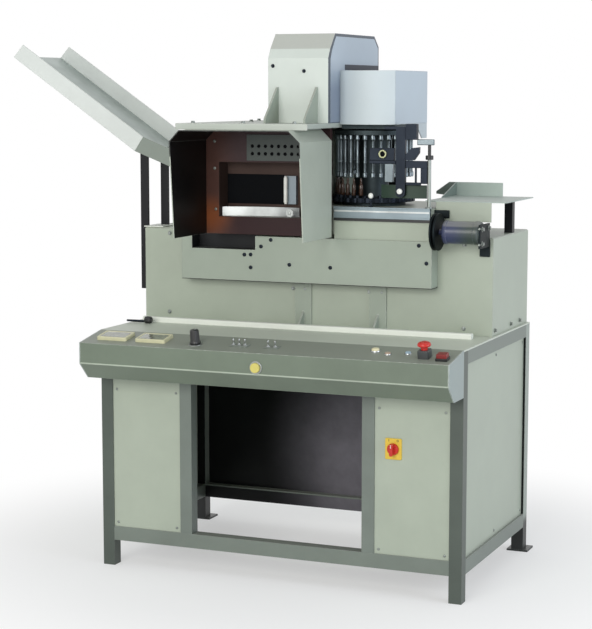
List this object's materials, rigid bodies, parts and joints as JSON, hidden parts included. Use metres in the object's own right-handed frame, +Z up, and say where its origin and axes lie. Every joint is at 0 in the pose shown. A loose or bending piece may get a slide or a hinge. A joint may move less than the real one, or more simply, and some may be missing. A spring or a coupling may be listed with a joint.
{
  "type": "ampoule inspection machine",
  "caption": "Ampoule inspection machine: seated inspection desk with viewing hood, spindle turret, infeed chute, outfeed tray and sloping control console",
  "frame": {"origin": "centre of the machine's bounding box on the floor", "axes": "+Z up; -Y is the operator's side; +X is the operator's right, towards the outfeed tray"},
  "size_m": [1.747, 0.888, 1.684],
  "materials": {
    "frame_paint": "semi-gloss stoved paint",
    "panel_paint": "semi-gloss stoved paint",
    "console_paint": "semi-gloss stoved paint",
    "tower_paint": "satin stoved paint",
    "chute_paint": "satin stoved paint",
    "hood_paint": "satin outside, matt black inside",
    "maroon_paint": "satin paint",
    "black_paint": "matt black paint",
    "stainless": "brushed stainless steel",
    "bright_steel": "polished steel",
    "dark_steel": "blackened steel",
    "motor_paint": "satin dark blue paint",
    "guard_green": "dark green paint",
    "black_plastic": "moulded, matt",
    "red_plastic": "moulded, gloss",
    "yellow_plastic": "moulded, satin",
    "cream_plastic": "moulded, satin",
    "opal_glass": "opal lamp cover",
    "amber_glass": "amber ampoule glass",
    "screen_black": "matt inspection background"
  },
  "bodies": {
    "machine": {"uprights": "frame_paint", "rails": "frame_paint", "table_top": "panel_paint", "front_panels": "panel_paint", "side_panels": "panel_paint", "rear_panels": "panel_paint", "console": "console_paint", "console_ends": "panel_paint", "meters": "cream_plastic", "switch_plates": "yellow_plastic", "switches_and_lamps": "cream_plastic", "push_buttons": "red_plastic", "edge_strip": "bright_steel", "table_lever": "black_plastic", "housing": "panel_paint", "front_cover": "panel_paint", "housing_gussets": "panel_paint", "machine_bed": "panel_paint", "guide_rail": "stainless", "inspection_housing": "panel_paint", "window_frame": "maroon_paint", "vent_plate": "panel_paint", "viewing_screen": "screen_black", "lamp_diffuser": "opal_glass", "track_rail": "bright_steel", "hood": "hood_paint", "top_deck": "panel_paint", "tower": "tower_paint", "tower_gussets": "tower_paint", "turret_column": "dark_steel", "turret_cover": "stainless", "inspection_arm": "dark_steel", "sensor_head": "dark_steel", "guide_post": "bright_steel", "arc_guard": "guard_green", "drive_motor": "motor_paint", "motor_bracket": "dark_steel", "outfeed_tray": "chute_paint", "foot_plates": "frame_paint", "rear_guard": "black_paint", "chute_mouth": "panel_paint", "tray_skirt": "panel_paint", "infeed_chute": "chute_paint", "support_posts": "black_paint"},
    "turret": {"star_wheel": "dark_steel", "turret_rotor": "dark_steel", "spindles": "bright_steel", "ampoules": "amber_glass"},
    "knob": {"speed_knob": "black_plastic"},
    "switch": {"switch_knob": "red_plastic"},
    "pulley": {"drive_pulley": "black_paint"}
  },
  "joints": [
    {"name": "turret_turn", "type": "hinge", "parent": "machine", "child": "turret", "pos_m": [0.4015, 0.126, 1.18], "axis": [0, 0, 1], "continuous": true},
    {"name": "pulley_turn", "type": "hinge", "parent": "machine", "child": "pulley", "pos_m": [0.6735, -0.056, 1.083], "axis": [1, 0, 0], "continuous": true},
    {"name": "speed_knob_turn", "type": "hinge", "parent": "machine", "child": "knob", "pos_m": [0.0145, -0.38274, 0.74457], "axis": [0, -0.1713, 0.9852], "range_deg": [-140, 140]},
    {"name": "main_switch_turn", "type": "hinge", "parent": "machine", "child": "switch", "pos_m": [0.6225, -0.3, 0.452], "axis": [0, -1, 0], "range_deg": [-90, 0]}
  ]
}
